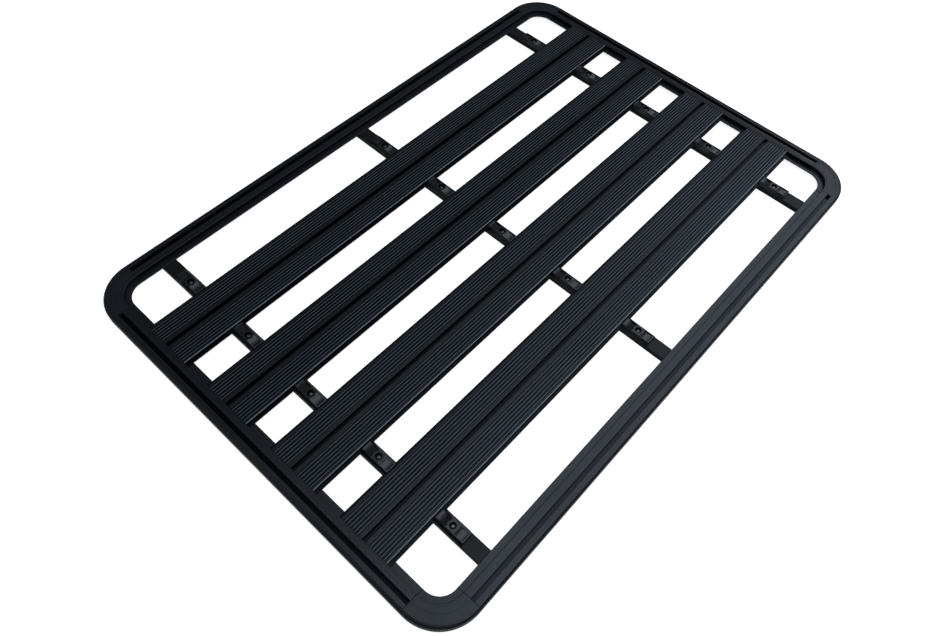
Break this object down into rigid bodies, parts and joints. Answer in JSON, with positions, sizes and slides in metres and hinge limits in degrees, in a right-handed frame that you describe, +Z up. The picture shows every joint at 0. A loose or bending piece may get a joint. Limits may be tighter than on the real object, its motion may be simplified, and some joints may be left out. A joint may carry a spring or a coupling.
{
  "type": "flat platform roof rack",
  "caption": "Flat aluminium platform roof rack: slotted perimeter rails with cast corners, ribbed lengthwise planks clamped to cross bars",
  "frame": {"origin": "centre of the rack's footprint, on the level its rails and cross bars rest on", "axes": "+X along the planks towards the front, +Y to the left, +Z up"},
  "size_m": [1.8, 1.253, 0.028],
  "materials": {
    "rail_coat": "fine-textured black powder coat",
    "corner_coat": "fine-textured black powder coat on a casting",
    "plank_coat": "fine-textured black powder coat",
    "bar_coat": "fine-textured black powder coat",
    "clamp_moulding": "moulded black glass-filled nylon, slightly glossy",
    "bolt_steel": "black-oxide socket-head bolt"
  },
  "bodies": {
    "root": {"long_rail_left": "rail_coat", "long_rail_right": "rail_coat", "short_rail_front": "rail_coat", "short_rail_rear": "rail_coat", "corner_front_left": "corner_coat", "corner_front_right": "corner_coat", "corner_rear_left": "corner_coat", "corner_rear_right": "corner_coat", "plank_1": "plank_coat", "plank_2": "plank_coat", "plank_3": "plank_coat", "plank_4": "plank_coat", "cross_bar_front": "bar_coat", "cross_bar_middle": "bar_coat", "cross_bar_rear": "bar_coat", "clamp_front_1": "clamp_moulding", "clamp_front_2": "clamp_moulding", "clamp_front_3": "clamp_moulding", "clamp_front_4": "clamp_moulding", "clamp_front_5": "clamp_moulding", "clamp_middle_1": "clamp_moulding", "clamp_middle_2": "clamp_moulding", "clamp_middle_3": "clamp_moulding", "clamp_middle_4": "clamp_moulding", "clamp_middle_5": "clamp_moulding", "clamp_rear_1": "clamp_moulding", "clamp_rear_2": "clamp_moulding", "clamp_rear_3": "clamp_moulding", "clamp_rear_4": "clamp_moulding", "clamp_rear_5": "clamp_moulding"}
  },
  "joints": []
}
